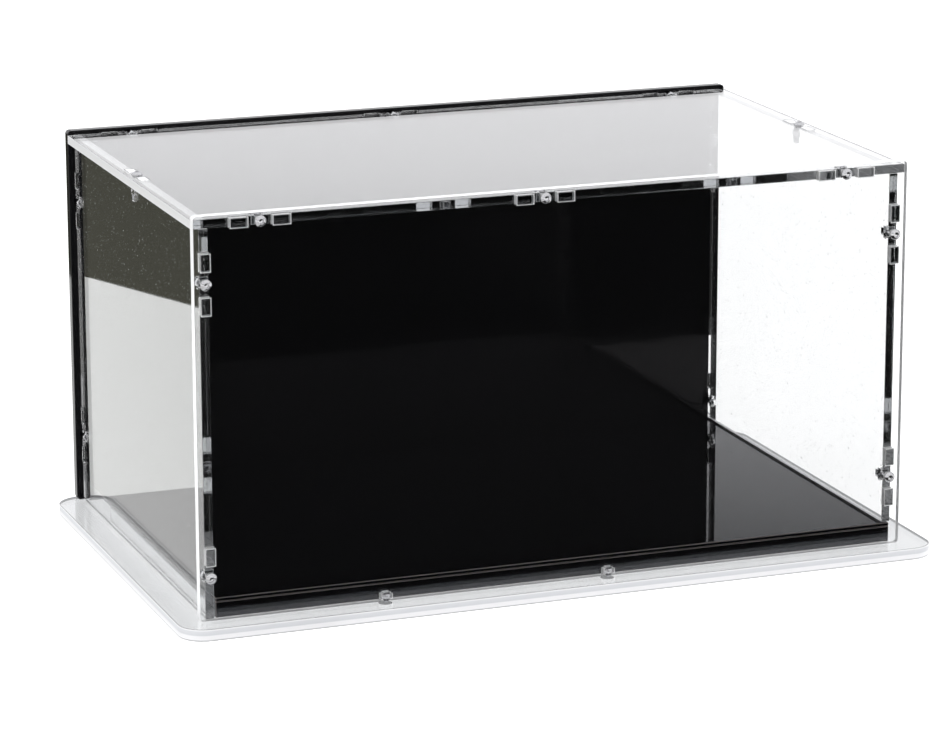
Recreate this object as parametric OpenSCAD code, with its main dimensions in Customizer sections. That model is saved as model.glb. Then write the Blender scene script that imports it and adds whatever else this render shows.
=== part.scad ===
// Flat-pack clear display case: five slotted sheet panels screwed into one cover,
// standing on a clear base plate with a black riser inside.
// Origin: underside of the base plate, at its centre. X width, Y depth (front is -Y), Z up.

/* [Cover] */
// Width of the front and back panels
case_w = 368; // [300:1:450]
// Depth over the front and back panels
case_d = 228; // [180:1:300]
// Height of the front and back panels
case_h = 197; // [190:1:260]
// Thickness of the front and back panels
end_t = 5; // [4.8:0.1:6]
// Thickness of the side and top panels
wall_t = 4.5; // [4:0.1:6]
// How far the front and back panels reach past the side panels
side_margin = 3.6; // [2.5:0.1:6]
// How far the front and back panels rise above the top panel
top_margin = 2.2; // [1.5:0.1:4]
// Corner radius of the front and back panels
end_corner_r = 2; // [1:0.5:4]

/* [Base] */
// Thickness of the base plate
base_t = 6; // [5:0.5:10]
// Rim of the base plate in front of the cover
base_front_rim = 12; // [8:1:25]
// Rim of the base plate behind the cover
base_back_rim = 2; // [2:1:25]
// Rim of the base plate left of the cover
base_left_rim = 11; // [8:1:25]
// Rim of the base plate right of the cover
base_right_rim = 16.5; // [8:1:25]
// Corner radius of the base plate
base_corner_r = 13; // [3:0.5:30]

/* [Riser] */
// Height of the riser's skirts and end rails
riser_skirt_h = 8; // [5:0.5:10]
// Thickness of the riser's top sheet
riser_top_t = 2; // [1.5:0.5:4]
// Thickness of the riser's front and back skirts
riser_skirt_t = 3; // [2:0.5:5]
// Length of the riser's clear end rails
riser_rail_len = 170; // [100:5:200]
// Gap between the riser and the front and back panels
riser_gap = 0.8; // [0.8:0.1:2]
// Gap from the riser to the left panel beside it and to the right panel above it
seat_gap = 0.8; // [0.2:0.1:2]

/* [Joints] */
// Length of one tab along the edge
tab_w = 8.5; // [6:0.5:12]
// Clear distance between the two tabs of a joint
tab_gap = 12.5; // [10:0.5:16]
// Side clearance of a tab in its slot
slot_play = 0.1; // [0.05:0.05:0.3]
// Depth from the panel edge to the nut pocket
nut_inset = 2.5; // [2:0.1:4]
// Depth from the lower edge of an end panel to its nut pocket
base_nut_inset = 1; // [0.8:0.1:1.2]
// Offset of the middle joint on the top panel's front and back edges
top_mid_x = -8; // [-30:1:30]
// Distance of the outer joints from the middle of the top panel's front and back edges
top_outer_x = 151; // [120:1:155]
// Height of the lower joint on the left panel's front edge and the right panel's back edge
low_joint_a = 21; // [18:1:60]
// Height of the upper joint on the left panel's front edge and the right panel's back edge
high_joint_a = 164; // [120:1:166]
// Height of the lower joint on the left panel's back edge and the right panel's front edge
low_joint_b = 35; // [18:1:60]
// Height of the upper joint on the left panel's back edge and the right panel's front edge
high_joint_b = 160; // [120:1:166]
// Places of the two base screws along the front panel
base_joint_x = [-90, 26];

/* [Fasteners] */
// Diameter of the screw shanks
shank_d = 3; // [2.5:0.1:4]
// Length of the cover's screws under the head
screw_len = 12; // [11:0.5:16]
// Length of the base screws over all
base_screw_len = 9.5; // [9.5:0.5:14]
// Diameter of the screw heads
head_d = 5.6; // [5:0.1:7]
// Height of the domed screw heads
head_h = 1.8; // [1.5:0.1:3]
// Distance across the flats of the nuts
nut_af = 5.5; // [5:0.1:5.6]
// Thickness of the nuts
nut_t = 2.4; // [2:0.1:3]

/* [Hidden] */
$fn = 48;
eps = 0.02;
play = 0.05;
inner_d = case_d - 2 * end_t;
side_mid = case_w / 2 - side_margin - wall_t / 2;
top_mid = case_h - top_margin - wall_t / 2;
side_h = case_h - top_margin - wall_t;
tab_shift = (tab_w + tab_gap) / 2;
hole_d = shank_d + 0.4;
slot_w = shank_d + 0.2;
pocket_w = nut_af + 0.2;
pocket_t = nut_t + 0.2;
countersink_h = 2;
head_recess = 0.3;
socket_af = 2;
socket_depth = 1;
riser_left = -side_mid + wall_t / 2 + seat_gap;
riser_right = side_mid + wall_t / 2;
riser_w = riser_right - riser_left;
riser_d = inner_d - 2 * riser_gap;
right_low = riser_skirt_h + riser_top_t + seat_gap;
tab_floor = low_joint_a - tab_gap / 2 + 0.5;
base_w = case_w + base_left_rim + base_right_rim;
base_d = case_d + base_front_rim + base_back_rim;
cover_x = (base_left_rim - base_right_rim) / 2;
cover_y = (base_front_rim - base_back_rim) / 2;
top_joints = [-top_outer_x, top_mid_x, top_outer_x];
joints_a = [low_joint_a, high_joint_a];
joints_b = [low_joint_b, high_joint_b];

// ---- flat outlines ----

module rounded_rect(w, h, r) {
    square([w - 2 * r, h], center = true);
    square([w, h - 2 * r], center = true);
    for (x = [-1, 1], y = [-1, 1]) translate([x * (w / 2 - r), y * (h / 2 - r)]) circle(r);
}

// Two slots and a screw hole that take one joint of a panel of thickness wall_t along X
module joint_openings() {
    for (s = [-1, 1]) translate([s * tab_shift, 0])
        square([tab_w + 2 * slot_play, wall_t + 2 * slot_play], center = true);
    circle(d = hole_d);
}

// Two tabs of the given length standing on the line Y = 0
module joint_tabs(length) {
    for (s = [-1, 1]) translate([s * tab_shift - tab_w / 2, -eps]) square([tab_w, length + eps]);
}

// T-shaped cut below the line Y = 0 that takes a shank and a captive nut
module joint_cut(inset, depth) {
    translate([-slot_w / 2, -depth]) square([slot_w, depth + eps]);
    translate([-pocket_w / 2, -inset - pocket_t]) square([pocket_w, pocket_t]);
}

module end_outline(left_joints, right_joints) {
    difference() {
        translate([0, case_h / 2]) rounded_rect(case_w, case_h, end_corner_r);
        for (x = top_joints) translate([x, top_mid]) joint_openings();
        intersection() {
            union() {
                for (z = left_joints) translate([-side_mid, z]) rotate(90) joint_openings();
                for (z = right_joints) translate([side_mid, z]) rotate(90) joint_openings();
            }
            translate([-case_w / 2, tab_floor]) square([case_w, case_h]);
        }
        for (x = base_joint_x) translate([x, 0]) rotate(180) joint_cut(base_nut_inset, base_screw_len - 5.2);
    }
}

// A side panel seen from the left; low is its lower edge
module side_outline(low) {
    difference() {
        union() {
            translate([-inner_d / 2, low]) square([inner_d, side_h - low]);
            intersection() {
                union() {
                    for (z = joints_a) translate([-inner_d / 2, z]) rotate(90) joint_tabs(end_t);
                    for (z = joints_b) translate([inner_d / 2, z]) rotate(-90) joint_tabs(end_t);
                }
                translate([-case_d, tab_floor]) square([2 * case_d, case_h]);
            }
            translate([0, side_h]) joint_tabs(wall_t);
        }
        for (z = joints_a) translate([-inner_d / 2, z]) rotate(90) joint_cut(nut_inset, screw_len - end_t + 1);
        for (z = joints_b) translate([inner_d / 2, z]) rotate(-90) joint_cut(nut_inset, screw_len - end_t + 1);
        translate([0, side_h]) joint_cut(nut_inset, screw_len - wall_t + 1);
    }
}

module top_outline() {
    difference() {
        union() {
            square([case_w, inner_d], center = true);
            for (x = top_joints, s = [0, 180])
                rotate(s) translate([s == 0 ? x : -x, inner_d / 2]) joint_tabs(end_t);
        }
        for (x = top_joints, s = [0, 180])
            rotate(s) translate([s == 0 ? x : -x, inner_d / 2]) joint_cut(nut_inset, screw_len - end_t + 1);
        for (s = [-1, 1]) translate([s * side_mid, 0]) rotate(90) joint_openings();
    }
}

// ---- fasteners, along +Z into the joint, with Z = 0 on the outer face ----

module dome_screw() {
    dome_r = (head_d * head_d / 4 + head_h * head_h) / (2 * head_h);
    color("gainsboro") union() {
        difference() {
            intersection() {
                translate([0, 0, dome_r - head_h]) sphere(dome_r);
                translate([0, 0, -head_h]) cylinder(d = head_d, h = head_h);
            }
            translate([0, 0, -head_h - eps])
                cylinder(d = socket_af / cos(30), h = socket_depth + eps, $fn = 6);
        }
        translate([0, 0, -play]) cylinder(d = shank_d, h = screw_len + play);
    }
}

module flat_screw() {
    color("gainsboro") difference() {
        union() {
            cylinder(d1 = head_d, d2 = shank_d, h = countersink_h);
            cylinder(d = shank_d, h = base_screw_len);
        }
        translate([0, 0, -eps]) cylinder(d = socket_af / cos(30), h = socket_depth + eps, $fn = 6);
    }
}

module nut(from_face) {
    color("silver") translate([0, 0, from_face + (pocket_t - nut_t) / 2]) difference() {
        rotate(30) cylinder(d = nut_af / cos(30), h = nut_t, $fn = 6);
        translate([0, 0, -eps]) cylinder(d = shank_d + 2 * play, h = nut_t + 2 * eps);
    }
}

// ---- places of the joints on the cover ----

module at_case() {
    translate([cover_x, cover_y, 0]) children();
}

module at_top_joints(back) {
    at_case() for (x = top_joints) translate([x, back * case_d / 2, base_t + top_mid]) rotate([back * 90, 0, 0])
        children();
}

module at_side_joints(side, back) {
    zs = side * back > 0 ? joints_a : joints_b;
    at_case() for (z = zs) translate([side * side_mid, back * case_d / 2, base_t + z]) rotate([back * 90, 0, 0])
        rotate(90) children();
}

module at_roof_joint(side) {
    at_case() translate([side * side_mid, 0, base_t + top_mid + wall_t / 2]) rotate([180, 0, 0]) rotate(90)
        children();
}

module at_base_joints(back) {
    at_case() for (x = base_joint_x) translate([x, back * (case_d - end_t) / 2, 0]) children();
}

// ---- base and riser ----

module base_plate() {
    color("white", 0.5) difference() {
        linear_extrude(base_t) rounded_rect(base_w, base_d, base_corner_r);
        for (back = [-1, 1]) at_base_joints(back) {
            translate([0, 0, -eps]) cylinder(d = hole_d, h = base_t + 2 * eps);
            translate([0, 0, head_recess])
                cylinder(d1 = head_d + 2 * play, d2 = shank_d + 2 * play, h = countersink_h);
            translate([0, 0, -eps]) cylinder(d = head_d + 2 * play, h = head_recess + 2 * eps);
        }
    }
}

module riser_top() {
    color("black") at_case() translate([riser_left, -riser_d / 2, base_t + riser_skirt_h])
        cube([riser_w, riser_d, riser_top_t]);
}

module riser_skirt(back) {
    color("black") at_case()
        translate([riser_left, back * (riser_d - riser_skirt_t) / 2 - riser_skirt_t / 2, base_t])
        cube([riser_w, riser_skirt_t, riser_skirt_h]);
}

module riser_rail(x) {
    color("white", 0.5) at_case() translate([x, -riser_d / 2 + riser_skirt_t, base_t])
        cube([wall_t, riser_rail_len, riser_skirt_h]);
}

module riser_front_skirt() {
    riser_skirt(-1);
}

module riser_back_skirt() {
    riser_skirt(1);
}

module riser_left_rail() {
    riser_rail(riser_left);
}

module riser_right_rail() {
    riser_rail(riser_right - wall_t);
}

// ---- cover panels ----

module end_panel(front_y, left_joints, right_joints) {
    at_case() translate([0, front_y + end_t, base_t]) rotate([90, 0, 0])
        linear_extrude(end_t) end_outline(left_joints, right_joints);
}

module side_panel(turn, low) {
    at_case() rotate(turn) translate([-side_mid - wall_t / 2, 0, base_t]) rotate([90, 0, 90])
        linear_extrude(wall_t) side_outline(low);
}

module front_panel() {
    color("aliceblue", 0.4) end_panel(-case_d / 2, joints_a, joints_b);
}

module back_panel() {
    color("black") end_panel(inner_d / 2, joints_b, joints_a);
}

module left_panel() {
    color("aliceblue", 0.4) side_panel(0, 0);
}

module right_panel() {
    color("aliceblue", 0.4) side_panel(180, right_low);
}

module top_panel() {
    color("aliceblue", 0.4) at_case() translate([0, 0, base_t + side_h]) linear_extrude(wall_t) top_outline();
}

// ---- fastener groups ----

module front_top_screws() {
    at_top_joints(-1) dome_screw();
}

module front_top_nuts() {
    at_top_joints(-1) nut(end_t + nut_inset);
}

module front_left_screws() {
    at_side_joints(-1, -1) dome_screw();
}

module front_left_nuts() {
    at_side_joints(-1, -1) nut(end_t + nut_inset);
}

module front_right_screws() {
    at_side_joints(1, -1) dome_screw();
}

module front_right_nuts() {
    at_side_joints(1, -1) nut(end_t + nut_inset);
}

module back_top_screws() {
    at_top_joints(1) dome_screw();
}

module back_top_nuts() {
    at_top_joints(1) nut(end_t + nut_inset);
}

module back_left_screws() {
    at_side_joints(-1, 1) dome_screw();
}

module back_left_nuts() {
    at_side_joints(-1, 1) nut(end_t + nut_inset);
}

module back_right_screws() {
    at_side_joints(1, 1) dome_screw();
}

module back_right_nuts() {
    at_side_joints(1, 1) nut(end_t + nut_inset);
}

module top_left_screw() {
    at_roof_joint(-1) dome_screw();
}

module top_left_nut() {
    at_roof_joint(-1) nut(wall_t + nut_inset);
}

module top_right_screw() {
    at_roof_joint(1) dome_screw();
}

module top_right_nut() {
    at_roof_joint(1) nut(wall_t + nut_inset);
}

module base_front_screws() {
    at_base_joints(-1) translate([0, 0, head_recess]) flat_screw();
}

module base_front_nuts() {
    at_base_joints(-1) nut(base_t + base_nut_inset);
}

module base_back_screws() {
    at_base_joints(1) translate([0, 0, head_recess]) flat_screw();
}

module base_back_nuts() {
    at_base_joints(1) nut(base_t + base_nut_inset);
}

base_plate();
riser_top();
riser_front_skirt();
riser_back_skirt();
riser_left_rail();
riser_right_rail();
front_panel();
back_panel();
left_panel();
right_panel();
top_panel();
front_top_screws();
front_top_nuts();
front_left_screws();
front_left_nuts();
front_right_screws();
front_right_nuts();
back_top_screws();
back_top_nuts();
back_left_screws();
back_left_nuts();
back_right_screws();
back_right_nuts();
top_left_screw();
top_left_nut();
top_right_screw();
top_right_nut();
base_front_screws();
base_front_nuts();
base_back_screws();
base_back_nuts();
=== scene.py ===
import math

import bpy
from mathutils import Matrix, Vector


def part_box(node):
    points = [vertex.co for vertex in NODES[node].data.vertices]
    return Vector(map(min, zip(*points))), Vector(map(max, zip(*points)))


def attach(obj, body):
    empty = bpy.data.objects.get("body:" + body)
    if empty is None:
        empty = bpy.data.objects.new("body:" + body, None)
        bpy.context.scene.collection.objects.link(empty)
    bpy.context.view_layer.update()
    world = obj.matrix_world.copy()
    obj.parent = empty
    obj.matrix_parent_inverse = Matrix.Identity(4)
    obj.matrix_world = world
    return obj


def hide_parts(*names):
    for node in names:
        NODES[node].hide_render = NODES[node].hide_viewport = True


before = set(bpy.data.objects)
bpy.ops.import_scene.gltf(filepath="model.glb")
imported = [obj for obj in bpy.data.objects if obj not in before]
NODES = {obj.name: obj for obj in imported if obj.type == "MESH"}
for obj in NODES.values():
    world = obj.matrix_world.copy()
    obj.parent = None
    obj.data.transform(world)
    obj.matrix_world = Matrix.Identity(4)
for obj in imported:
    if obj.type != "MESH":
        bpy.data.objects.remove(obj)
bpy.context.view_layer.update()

# ---------------------------------------------------------------- sizes from the frame, in millimetres
MM = 0.001


def box_mm(node):
    """Lowest and highest corner of a CAD node."""
    return [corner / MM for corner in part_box(node)]


(FRONT_LOW, FRONT_HIGH), (_, BACK_HIGH) = box_mm("front_panel"), box_mm("back_panel")
(LEFT_LOW, LEFT_HIGH), (RIGHT_LOW, RIGHT_HIGH) = box_mm("left_panel"), box_mm("right_panel")
TOP_LOW, TOP_HIGH = box_mm("top_panel")
BASE_T, END_T, WALL_T = FRONT_LOW.z, FRONT_HIGH.y - FRONT_LOW.y, TOP_HIGH.z - TOP_LOW.z
CASE_X, CASE_Y = (FRONT_LOW.x + FRONT_HIGH.x) / 2, (FRONT_LOW.y + BACK_HIGH.y) / 2
CASE_D = BACK_HIGH.y - FRONT_LOW.y
SIDE_MID = (RIGHT_LOW.x + RIGHT_HIGH.x - LEFT_LOW.x - LEFT_HIGH.x) / 4
TOP_MID = (TOP_LOW.z + TOP_HIGH.z) / 2 - BASE_T

# ---------------------------------------------------------------- materials
ACRYLIC_IOR = 1.491
EDGE_CLEAR, CUT_ROUGH, SAWN_ROUGH = 0.10, 0.22, 0.35
FACE_TURN, EDGE_TURN = 0.95, 0.85


def node_tree(name):
    """A new material with an empty node tree, and its output node."""
    material = bpy.data.materials.new(name)
    material.use_nodes = True
    tree = material.node_tree
    tree.nodes.clear()
    output = tree.nodes.new("ShaderNodeOutputMaterial")
    return material, tree, output


def principled(tree, output, **values):
    """A Principled shader wired to the output, with its sockets set by name."""
    shader = tree.nodes.new("ShaderNodeBsdfPrincipled")
    for socket, value in values.items():
        shader.inputs[socket.replace("_", " ")].default_value = value
    tree.links.new(shader.outputs["BSDF"], output.inputs["Surface"])
    return shader


def noise(tree, scale, detail, stretch=(1.0, 1.0, 1.0)):
    """A noise texture over object space, stretched by the given factors."""
    coords = tree.nodes.new("ShaderNodeTexCoord")
    mapping = tree.nodes.new("ShaderNodeMapping")
    mapping.inputs["Scale"].default_value = stretch
    texture = tree.nodes.new("ShaderNodeTexNoise")
    texture.inputs["Scale"].default_value = scale
    texture.inputs["Detail"].default_value = detail
    tree.links.new(coords.outputs["Object"], mapping.inputs["Vector"])
    tree.links.new(mapping.outputs["Vector"], texture.inputs["Vector"])
    return texture


def ramp(tree, factor, stops):
    """A colour ramp on factor with (position, colour) stops."""
    node = tree.nodes.new("ShaderNodeValToRGB")
    elements = node.color_ramp.elements
    while len(elements) < len(stops):
        elements.new(0.5)
    for element, (position, colour) in zip(elements, stops):
        element.position = position
        element.color = (*colour, 1.0)
    tree.links.new(factor, node.inputs["Fac"])
    return node


def value_range(tree, factor, low, high):
    """factor, from 0 to 1, mapped to the range low to high."""
    node = tree.nodes.new("ShaderNodeMapRange")
    node.inputs["To Min"].default_value = low
    node.inputs["To Max"].default_value = high
    tree.links.new(factor, node.inputs["Value"])
    return node


def bump(tree, shader, height, distance, strength):
    """A bump from height on the shader's normal."""
    node = tree.nodes.new("ShaderNodeBump")
    node.inputs["Distance"].default_value = distance
    node.inputs["Strength"].default_value = strength
    tree.links.new(height, node.inputs["Height"])
    tree.links.new(node.outputs["Normal"], shader.inputs["Normal"])


def cut_edge_mask(tree, polished_axes):
    """1 where a surface faces none of the given axes: the arrises and the pale cut edges."""
    geometry = tree.nodes.new("ShaderNodeNewGeometry")
    split = tree.nodes.new("ShaderNodeSeparateXYZ")
    tree.links.new(geometry.outputs["True Normal"], split.inputs["Vector"])
    widest = None
    for axis in polished_axes:
        size = tree.nodes.new("ShaderNodeMath")
        size.operation = "ABSOLUTE"
        tree.links.new(split.outputs[axis], size.inputs[0])
        if widest is None:
            widest = size
            continue
        larger = tree.nodes.new("ShaderNodeMath")
        larger.operation = "MAXIMUM"
        tree.links.new(widest.outputs["Value"], larger.inputs[0])
        tree.links.new(size.outputs["Value"], larger.inputs[1])
        widest = larger
    mask = tree.nodes.new("ShaderNodeMapRange")
    mask.inputs["From Min"].default_value = FACE_TURN
    mask.inputs["From Max"].default_value = EDGE_TURN
    tree.links.new(widest.outputs["Value"], mask.inputs["Value"])
    return mask.outputs["Result"]


def mixed(tree, kind, factor, low, high):
    """low or high by factor; each is a value or a socket."""
    node = tree.nodes.new("ShaderNodeMix")
    node.data_type = kind
    ends = [socket for socket in node.inputs if socket.enabled and socket.name in ("A", "B")]
    output = next(socket for socket in node.outputs if socket.enabled)
    factor_socket = next(socket for socket in node.inputs if socket.enabled and socket.name == "Factor")
    tree.links.new(factor, factor_socket)
    for socket, end in zip(ends, (low, high)):
        if isinstance(end, bpy.types.NodeSocket):
            tree.links.new(end, socket)
        else:
            socket.default_value = end
    return output


def clear_acrylic(name, polished_axes, specks=0.0, painted_end_shade=1.0, tint=0.99):
    """Clear sheet with a faint haze of dust, and specks as opaque as the value given. Surfaces that face none
    of the polished axes are paler and rougher. tint colours the sheet; painted_end_shade, if below 1, darkens
    the faces that look along Y, the end edges and tab ends, with painted shade."""
    material, tree, output = node_tree(name)
    shader = principled(tree, output, IOR=ACRYLIC_IOR)
    edge = cut_edge_mask(tree, polished_axes)
    dust = noise(tree, 900.0, detail=3.0)
    film = value_range(tree, dust.outputs["Fac"], 0.0, 0.008)
    rough = mixed(tree, "FLOAT", edge, film.outputs["Result"], CUT_ROUGH)
    tree.links.new(rough, shader.inputs["Roughness"])
    dots = noise(tree, 800.0, detail=1.0)
    dot_mask = ramp(tree, dots.outputs["Fac"],
                    [(0.0, (1.0,) * 3), (0.72, (1.0,) * 3), (0.76, (1.0 - specks,) * 3)])
    clear = mixed(tree, "FLOAT", edge, dot_mask.outputs["Color"], EDGE_CLEAR)
    tree.links.new(clear, shader.inputs["Transmission Weight"])
    cloud = noise(tree, 14.0, detail=3.0)
    colour = ramp(tree, cloud.outputs["Fac"],
                  [(0.3, (0.995 * tint, tint, tint)), (0.7, (tint + 0.005, tint + 0.008, tint + 0.01))])
    # Faces that look along Y, the end edges and tab ends, get a darker colour here: painted shade.
    side = cut_edge_mask(tree, ["Y"])
    painted_end_shade_colour = (painted_end_shade * 0.94, painted_end_shade * 0.97, painted_end_shade, 1.0)
    face = mixed(tree, "RGBA", side, painted_end_shade_colour, colour.outputs["Color"])
    tree.links.new(face if painted_end_shade < 1.0 else colour.outputs["Color"], shader.inputs["Base Color"])
    cuts = noise(tree, 220.0, detail=2.0, stretch=(1.0, 1.0, 6.0))
    bump(tree, shader, mixed(tree, "FLOAT", edge, 0.5, cuts.outputs["Fac"]), 0.0001, 0.25)
    return material


def base_acrylic():
    """Clear base sheet, a shade greyer than the panels, with painted light and shade in bands up its cut
    edge.
    """
    material, tree, output = node_tree("clear_base")
    shader = principled(tree, output, IOR=ACRYLIC_IOR)
    edge = cut_edge_mask(tree, ["Z"])
    coords = tree.nodes.new("ShaderNodeTexCoord")
    split = tree.nodes.new("ShaderNodeSeparateXYZ")
    tree.links.new(coords.outputs["Object"], split.inputs["Vector"])
    height = tree.nodes.new("ShaderNodeMapRange")
    height.inputs["From Max"].default_value = BASE_T * MM
    tree.links.new(split.outputs["Z"], height.inputs["Value"])
    # Painted light and shade on the cut edge, by height: a dark painted contact shadow along the bottom, then
    # a pale band, a greyer band of painted shade, a paler line near the top and a darker line at the top.
    painted_shade_bands = ramp(tree, height.outputs["Result"],
                 [(0.0, (0.20, 0.20, 0.21)), (0.10, (0.50, 0.50, 0.51)), (0.14, (0.83, 0.83, 0.84)),
                  (0.45, (0.82, 0.82, 0.83)), (0.53, (0.62, 0.63, 0.65)), (0.86, (0.68, 0.69, 0.71)),
                  (0.93, (0.90, 0.90, 0.90)), (1.0, (0.55, 0.55, 0.56))])
    cloud = noise(tree, 30.0, detail=3.0)
    face = ramp(tree, cloud.outputs["Fac"], [(0.3, (0.81, 0.82, 0.83)), (0.7, (0.84, 0.85, 0.86))])
    tree.links.new(mixed(tree, "RGBA", edge, face.outputs["Color"], painted_shade_bands.outputs["Color"]),
                   shader.inputs["Base Color"])
    dust = noise(tree, 900.0, detail=3.0)
    film = value_range(tree, dust.outputs["Fac"], 0.0, 0.03)
    tree.links.new(mixed(tree, "FLOAT", edge, film.outputs["Result"], SAWN_ROUGH), shader.inputs["Roughness"])
    tree.links.new(mixed(tree, "FLOAT", edge, 1.0, EDGE_CLEAR), shader.inputs["Transmission Weight"])
    return material


def black_acrylic(name, mirror, smooth, rough_end, tint, painted_edge_highlight):
    """Black gloss sheet: mirror is its specular level, tint that gloss's colour, smooth to rough_end its
    roughness, and arris a paler colour on its edges, a painted highlight along them."""
    material, tree, output = node_tree(name)
    shader = principled(tree, output, IOR=ACRYLIC_IOR, Specular_IOR_Level=mirror,
                        Specular_Tint=(*tint, 1.0))
    edge = cut_edge_mask(tree, ["X", "Y", "Z"])
    haze = noise(tree, 60.0, detail=4.0)
    rough = value_range(tree, haze.outputs["Fac"], smooth, rough_end)
    specks = noise(tree, 1400.0, detail=2.0)
    colour = ramp(tree, specks.outputs["Fac"],
                  [(0.0, (0.002, 0.002, 0.0025)), (0.74, (0.003, 0.003, 0.0035)), (0.8, (0.02, 0.02, 0.02))])
    roughness = mixed(tree, "FLOAT", edge, rough.outputs["Result"], SAWN_ROUGH)
    tree.links.new(roughness, shader.inputs["Roughness"])
    # The edges take the arris colour, paler than the sheet: a painted highlight along them.
    base_colour = mixed(tree, "RGBA", edge, colour.outputs["Color"], (*painted_edge_highlight, 1.0))
    tree.links.new(base_colour, shader.inputs["Base Color"])
    return material


def bright_steel():
    """Bright steel with fine marks that vary its shade and roughness."""
    material, tree, output = node_tree("bright_steel")
    shader = principled(tree, output, Metallic=1.0)
    brushed = noise(tree, 1500.0, detail=3.0)
    rough = value_range(tree, brushed.outputs["Fac"], 0.06, 0.20)
    colour = ramp(tree, brushed.outputs["Fac"], [(0.3, (0.42, 0.42, 0.43)), (0.7, (0.58, 0.58, 0.59))])
    tree.links.new(rough.outputs["Result"], shader.inputs["Roughness"])
    tree.links.new(colour.outputs["Color"], shader.inputs["Base Color"])
    return material


def paint(names, material):
    """Gives one material to CAD nodes."""
    for name in names:
        mesh = NODES[name].data
        mesh.materials.clear()
        mesh.materials.append(material)


def soften(names, width):
    """A small round on the sharp edges of CAD nodes, as modifiers."""
    for name in names:
        joined = NODES[name].modifiers.new("joined", "WELD")
        joined.merge_threshold = 0.001 * MM
        flat = NODES[name].modifiers.new("flat_faces", "DECIMATE")
        flat.decimate_type = "DISSOLVE"
        flat.angle_limit = math.radians(0.5)
        bevel = NODES[name].modifiers.new("edge_round", "BEVEL")
        bevel.width = width
        bevel.segments = 2
        bevel.limit_method = "ANGLE"
        bevel.angle_limit = math.radians(40.0)
        bevel.loop_slide = False
        bevel.use_clamp_overlap = False


def shrink(names, depth):
    """Draws every face in by depth, so that sheets that touch have a thin film of air between them."""
    for name in names:
        inset = NODES[name].modifiers.new("air_film", "DISPLACE")
        inset.strength = -depth
        inset.mid_level = 0.0


CLEAR_PANELS = ["front_panel", "left_panel", "right_panel", "top_panel"]
CLEAR_REST = ["base_plate", "riser_left_rail", "riser_right_rail"]
RISER_BLACK = ["riser_top", "riser_front_skirt", "riser_back_skirt"]

paint(["front_panel"], clear_acrylic("clear_front", ["Y"]))
paint(["left_panel", "right_panel"], clear_acrylic("clear_sides", ["X", "Y"], specks=0.45, painted_end_shade=0.28))
paint(["riser_left_rail", "riser_right_rail"], clear_acrylic("clear_rails", ["X", "Y", "Z"]))
paint(["top_panel"], clear_acrylic("clear_top", ["Z", "Y"], painted_end_shade=0.42, tint=0.80))
paint(["base_plate"], base_acrylic())
paint(["back_panel"], black_acrylic("black_panel", mirror=0.12, smooth=0.03, rough_end=0.09,
                                    tint=(1.0, 0.97, 1.0), painted_edge_highlight=(0.10, 0.10, 0.10)))
paint(RISER_BLACK, black_acrylic("black_riser", mirror=0.40, smooth=0.01, rough_end=0.05,
                                 tint=(0.82, 0.86, 1.0), painted_edge_highlight=(0.50, 0.42, 0.38)))
soften(CLEAR_PANELS + ["back_panel"], 0.30 * MM)
soften(CLEAR_REST + RISER_BLACK, 0.40 * MM)
shrink(CLEAR_PANELS + CLEAR_REST + ["back_panel"] + RISER_BLACK, 0.03 * MM)


# ---------------------------------------------------------------- screws and nuts, in millimetres
HEAD_R, HEAD_H, RIM_H, MOUTH_R = 2.8, 1.8, 0.25, 1.34
SHANK_R, ROOT_R, PITCH = 1.5, 1.24, 0.5
SCREW_LEN, BASE_SCREW_LEN, SOCKET_AF, SOCKET_DEPTH = 12.0, 9.5, 2.0, 0.95
NUT_AF, NUT_T, NUT_HOLE_R, BORE_MOUTH_R, NUT_CHAMFER = 5.5, 2.4, 1.55, 1.85, 0.3
NUT_INSET, BASE_NUT_INSET, NUT_PLAY, HEAD_RECESS = 2.5, 1.0, 0.1, 0.3
TOP_X, BASE_X = (-151.0, -8.0, 151.0), (-90.0, 26.0)
JOINTS_A, JOINTS_B = (21.0, 164.0), (35.0, 160.0)


def hexagon(across_flats, angle):
    """Radius of a hexagon at an angle."""
    sixth = math.radians(60.0)
    return across_flats / 2 / math.cos(angle % sixth - sixth / 2)


class Shape:
    """Vertices and faces in millimetres, gathered ring by ring."""

    def __init__(self):
        self.verts, self.faces = [], []

    def skin(self, start, rows, steps):
        """Faces between rows of steps vertices each, the first of them at start."""
        for row in range(rows - 1):
            a, b = start + row * steps, start + (row + 1) * steps
            self.faces += [(a + k, a + (k + 1) % steps, b + (k + 1) % steps, b + k) for k in range(steps)]

    def revolve(self, rings, steps=48, close_start=False):
        """Rings of (radius, z) or (function of angle, z) about Z, joined in order."""
        start = len(self.verts)
        for radius, z in rings:
            for k in range(steps):
                angle = 2 * math.pi * k / steps
                r = radius(angle) if callable(radius) else radius
                self.verts.append((r * math.cos(angle), r * math.sin(angle), z))
        self.skin(start, len(rings), steps)
        if close_start:
            self.faces.append(tuple(start + k for k in reversed(range(steps))))

    def thread(self, low, high, steps=24, rows_per_turn=6):
        """A shank with a helical thread from low to high and a cut point at its end."""
        start = len(self.verts)
        rows = int((high - low) / PITCH * rows_per_turn) + 1
        for row in range(rows):
            z = low + (high - low) * row / (rows - 1)
            for k in range(steps):
                phase = ((z / PITCH) - k / steps) % 1.0
                r = SHANK_R - (SHANK_R - ROOT_R) * abs(2 * phase - 1)
                r = min(r, SHANK_R - 0.35 + (high - z))
                angle = 2 * math.pi * k / steps
                self.verts.append((r * math.cos(angle), r * math.sin(angle), z))
        self.skin(start, rows, steps)
        last = start + (rows - 1) * steps
        self.faces.append(tuple(last + k for k in range(steps)))


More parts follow.
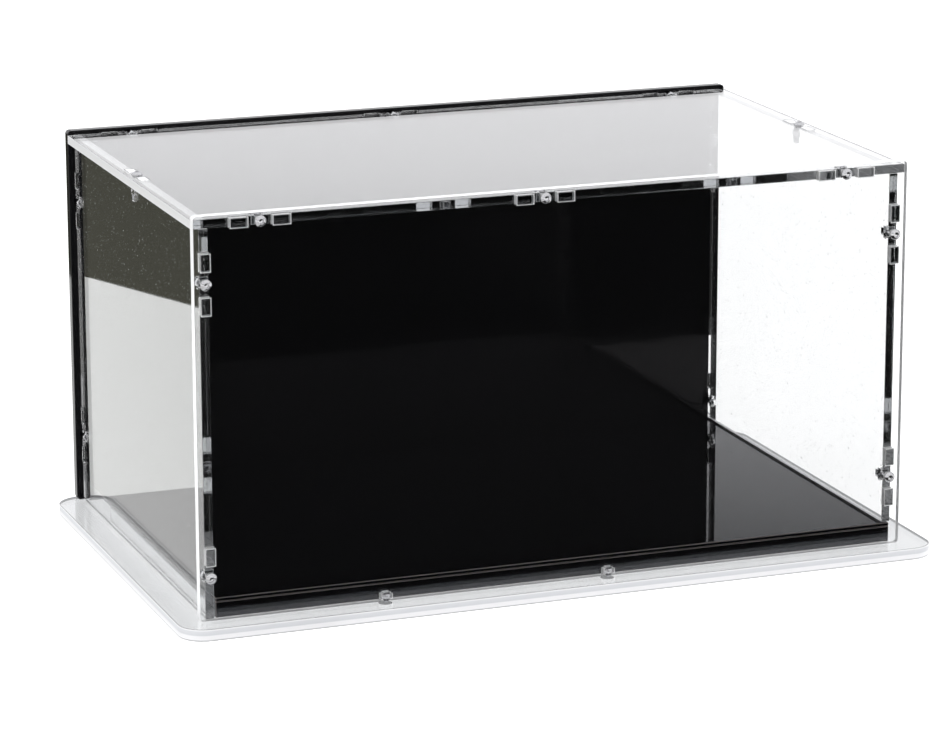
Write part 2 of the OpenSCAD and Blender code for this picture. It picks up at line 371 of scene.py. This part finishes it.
def dome_height(radius):
    """Height of a domed head at a radius from its axis."""
    rise = HEAD_H - RIM_H
    ball = (HEAD_R ** 2 + rise ** 2) / (2 * rise)
    return RIM_H + math.sqrt(ball ** 2 - radius ** 2) - (ball - rise)


def socket_rings(z_face):
    """The hexagon socket from its floor out to a chamfered mouth on a face at z_face."""
    floor = z_face + SOCKET_DEPTH
    return [(0.02, floor + 0.25), (lambda a: 0.96 * hexagon(SOCKET_AF, a), floor),
            (lambda a: hexagon(SOCKET_AF, a), floor - 0.05), (lambda a: hexagon(SOCKET_AF, a), z_face + 0.18),
            (MOUTH_R, z_face + 0.02)]


def dome_screw():
    """A button head outside z = 0 and a threaded shank inside it, along +Z."""
    shape = Shape()
    rings = socket_rings(-dome_height(MOUTH_R))
    rings += [(r, -dome_height(r)) for r in (1.42, 1.7, 2.0, 2.3, 2.55, 2.72)]
    rings += [(HEAD_R - 0.01, -RIM_H - 0.03), (HEAD_R, -RIM_H + 0.04), (HEAD_R, -0.07), (2.74, -0.01)]
    rings += [(1.2, 0.0)]
    shape.revolve(rings, close_start=True)
    shape.thread(-0.05, SCREW_LEN)
    return shape


def flat_screw():
    """A countersunk head with its face at z = 0 and a threaded shank, along +Z."""
    shape = Shape()
    rings = socket_rings(0.0)
    rings += [(1.45, 0.0), (2.72, 0.0), (HEAD_R, 0.05), (2.78, 0.14), (SHANK_R, 2.0), (1.3, 2.05)]
    shape.revolve(rings, close_start=True)
    shape.thread(1.95, BASE_SCREW_LEN)
    return shape


def nut_shape():
    """A chamfered hexagon nut from z = 0 up, with a threaded bore."""
    shape = Shape()
    turned = math.radians(30.0)

    def outer(limit):
        return lambda a: min(hexagon(NUT_AF, a + turned), limit)

    rings = [(BORE_MOUTH_R, 0.0), (outer(2.62), 0.0), (outer(2.80), 0.05), (outer(NUT_AF), 0.32),
             (outer(NUT_AF), NUT_T - 0.32), (outer(2.80), NUT_T - 0.05), (outer(2.62), NUT_T),
             (BORE_MOUTH_R, NUT_T), (NUT_HOLE_R, NUT_T - NUT_CHAMFER)]
    turns = 4
    for k in range(turns):
        z = NUT_T - NUT_CHAMFER - (NUT_T - 2 * NUT_CHAMFER) * (k + 0.5) / turns
        rings += [(NUT_HOLE_R + 0.16, z + 0.1), (NUT_HOLE_R, z - 0.1)]
    rings += [(NUT_HOLE_R, NUT_CHAMFER), (BORE_MOUTH_R, 0.0)]
    shape.revolve(rings)
    return shape


def turn(axis, degrees):
    return Matrix.Rotation(math.radians(degrees), 4, axis)


def at(x, y, z):
    """A place measured from the middle of the case."""
    return Matrix.Translation((x + CASE_X, y + CASE_Y, z))


def top_places(back):
    return [at(x, back * CASE_D / 2, BASE_T + TOP_MID) @ turn("X", back * 90) for x in TOP_X]


def side_places(side, back):
    heights = JOINTS_A if side * back > 0 else JOINTS_B
    return [at(side * SIDE_MID, back * CASE_D / 2, BASE_T + z) @ turn("X", back * 90) @ turn("Z", 90)
            for z in heights]


def roof_places(side):
    return [at(side * SIDE_MID, 0, BASE_T + TOP_MID + WALL_T / 2) @ turn("X", 180) @ turn("Z", 90)]


def base_places(back):
    return [at(x, back * (CASE_D - END_T) / 2, 0) for x in BASE_X]


def fasteners(node, shape, places, depth, body, material, spin):
    """One piece with a copy of shape at every place, each spin degrees further round, for a CAD node."""
    verts, faces = [], []
    for n, place in enumerate(places):
        move = place @ Matrix.Translation((0, 0, depth)) @ turn("Z", spin * (n + 1))
        first = len(verts)
        verts += [tuple((move @ Vector(v)) * MM) for v in shape.verts]
        faces += [tuple(first + k for k in face) for face in shape.faces]
    mesh = bpy.data.meshes.new(node + "_detailed")
    mesh.from_pydata(verts, [], faces)
    mesh.polygons.foreach_set("use_smooth", [True] * len(mesh.polygons))
    mesh.set_sharp_from_angle(angle=math.radians(32.0))
    mesh.materials.append(material)
    piece = bpy.data.objects.new(node + "_detailed", mesh)
    bpy.context.scene.collection.objects.link(piece)
    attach(piece, body)
    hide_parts(node)


steel = bright_steel()
END_NUT, WALL_NUT = END_T + NUT_INSET + NUT_PLAY, WALL_T + NUT_INSET + NUT_PLAY
BASE_NUT = BASE_T + BASE_NUT_INSET + NUT_PLAY
JOINT_GROUPS = [("front_top", top_places(-1)), ("back_top", top_places(1)),
                ("front_left", side_places(-1, -1)), ("front_right", side_places(1, -1)),
                ("back_left", side_places(-1, 1)), ("back_right", side_places(1, 1))]
for group, places in JOINT_GROUPS:
    fasteners(group + "_screws", dome_screw(), places, 0.0, "cover", steel, 17.0)
    fasteners(group + "_nuts", nut_shape(), places, END_NUT, "cover", steel, 0.0)
for group, side in (("top_left", -1), ("top_right", 1)):
    fasteners(group + "_screw", dome_screw(), roof_places(side), 0.0, "cover", steel, 11.0)
    fasteners(group + "_nut", nut_shape(), roof_places(side), WALL_NUT, "cover", steel, 0.0)
for group, back in (("base_front", -1), ("base_back", 1)):
    fasteners(group + "_screws", flat_screw(), base_places(back), HEAD_RECESS, "base", steel, 23.0)
    fasteners(group + "_nuts", nut_shape(), base_places(back), BASE_NUT, "cover", steel, 0.0)


# ---------------------------------------------------------------- stage, light and camera, in metres
WHITE, OFF_WHITE, OLIVE = (1.0, 1.0, 1.0), (0.99, 1.0, 0.99), (1.0, 1.0, 0.80)
FLOOR_SIZE, FLOOR_Z, FLOOR_STRENGTH, FLOOR_ALBEDO = 40.0, -0.0004, 1.05, 0.3
SHEET_Z, FAR = -0.0003, 2.0
CLOSE_X, CLOSE_Y, BRIGHT_X, BRIGHT_Y = -0.150, 0.136, -0.530, 1.078
# Outline, strength and colour of sheets that the camera doesn't see, but that reflections and light through
# the clear sheets do. Their outlines suit this camera alone: from elsewhere their reflections lie elsewhere.
HIDDEN_SHEETS = {
    "front_sheet": ([(-0.20, -0.122), (0.30, -0.122), (0.85, -1.35), (0.10, -1.35)], 0.02, WHITE),
    "near_sheet": ([(-FAR, -0.9), (-0.199, -0.9), (-0.199, CLOSE_Y), (-FAR, CLOSE_Y)], 1.0, WHITE),
    "bright_sheet": ([(BRIGHT_X, CLOSE_Y), (CLOSE_X, CLOSE_Y), (CLOSE_X, BRIGHT_Y)], 1.7, OFF_WHITE),
    "dark_sheet": ([(BRIGHT_X, CLOSE_Y), (CLOSE_X, BRIGHT_Y), (CLOSE_X, FAR), (-FAR, FAR), (-FAR, CLOSE_Y)],
                   0.15, OLIVE)}
# Brightness of the sky by the height of a direction, from -0.5 to 0.5 of a unit vector
SKY = [(-0.5, 0.015), (-0.15, 0.015), (-0.10, 0.95), (0.18, 1.12), (0.20, 1.08), (0.22, 0.96), (0.25, 1.0),
       (0.295, 0.40), (0.34, 0.45), (0.42, 1.0), (0.5, 1.0)]
SKY_STRENGTH, SKY_RED_GREEN = 1.3, 0.98
CAMERA_AT = (-0.7085, -1.87529, 0.60185)
AZIMUTH, ELEVATION, ROLL = math.radians(-20.52), math.radians(14.35), math.radians(-0.109)
BOUNCES, GLOSSY_BOUNCES = 32, 24


def floor_sheet(name, outline, height, strength, colour, albedo=0.0):
    """A flat sheet over the floor that glows with the given strength."""
    mesh = bpy.data.meshes.new(name)
    mesh.from_pydata([(x, y, height) for x, y in outline], [], [tuple(range(len(outline)))])
    sheet = bpy.data.objects.new(name, mesh)
    bpy.context.scene.collection.objects.link(sheet)
    material, tree, output = node_tree(name)
    principled(tree, output, Base_Color=(albedo, albedo, albedo, 1.0), Roughness=1.0, Specular_IOR_Level=0.0,
               Emission_Color=(*colour, 1.0), Emission_Strength=strength)
    mesh.materials.append(material)
    return sheet


def studio_floor():
    """Pale floor, and the hidden sheets a little above it."""
    corners = [(-FLOOR_SIZE, -FLOOR_SIZE), (FLOOR_SIZE, -FLOOR_SIZE), (FLOOR_SIZE, FLOOR_SIZE),
               (-FLOOR_SIZE, FLOOR_SIZE)]
    floor_sheet("floor", corners, FLOOR_Z, FLOOR_STRENGTH, WHITE, FLOOR_ALBEDO)
    for name, (outline, strength, colour) in HIDDEN_SHEETS.items():
        sheet = floor_sheet(name, outline, SHEET_Z, strength, colour)
        sheet.visible_camera = False
        sheet.visible_diffuse = False


def studio_world():
    """Soft white light from above, less of it a little above the horizon, and dark below the horizon."""
    world = bpy.data.worlds.new("studio")
    world.use_nodes = True
    tree = world.node_tree
    background = tree.nodes["Background"]
    coords = tree.nodes.new("ShaderNodeTexCoord")
    split = tree.nodes.new("ShaderNodeSeparateXYZ")
    level = tree.nodes.new("ShaderNodeMapRange")
    level.inputs["From Min"].default_value = -0.5
    level.inputs["From Max"].default_value = 0.5
    tree.links.new(coords.outputs["Generated"], split.inputs["Vector"])
    tree.links.new(split.outputs["Z"], level.inputs["Value"])
    stops = [(z + 0.5, (SKY_RED_GREEN * grey, SKY_RED_GREEN * grey, grey)) for z, grey in SKY]
    shade = ramp(tree, level.outputs["Result"], stops)
    tree.links.new(shade.outputs["Color"], background.inputs["Color"])
    background.inputs["Strength"].default_value = SKY_STRENGTH
    bpy.context.scene.world = world


def photo_camera():
    """The camera, level but for a slight roll, looking down at the case."""
    back = Vector((math.sin(AZIMUTH) * math.cos(ELEVATION), -math.cos(AZIMUTH) * math.cos(ELEVATION),
                   math.sin(ELEVATION)))
    right = Vector((0, 0, 1)).cross(back).normalized()
    up = back.cross(right)
    facing = Matrix((right, up, back)).transposed().to_4x4() @ Matrix.Rotation(ROLL, 4, "Z")
    data = bpy.data.cameras.new("camera")
    camera = bpy.data.objects.new("camera", data)
    bpy.context.scene.collection.objects.link(camera)
    camera.matrix_world = Matrix.Translation(Vector(CAMERA_AT)) @ facing
    data.sensor_width = 36.0
    data.lens = 153.87
    data.clip_end = 100.0
    bpy.context.scene.camera = camera


def light_paths():
    """Enough bounces for light to travel along the clear sheets to their edges."""
    cycles = bpy.context.scene.cycles
    cycles.max_bounces = BOUNCES
    cycles.glossy_bounces = GLOSSY_BOUNCES
    cycles.transmission_bounces = BOUNCES


studio_floor()
studio_world()
photo_camera()
light_paths()
bpy.context.scene.view_settings.view_transform = "Standard"
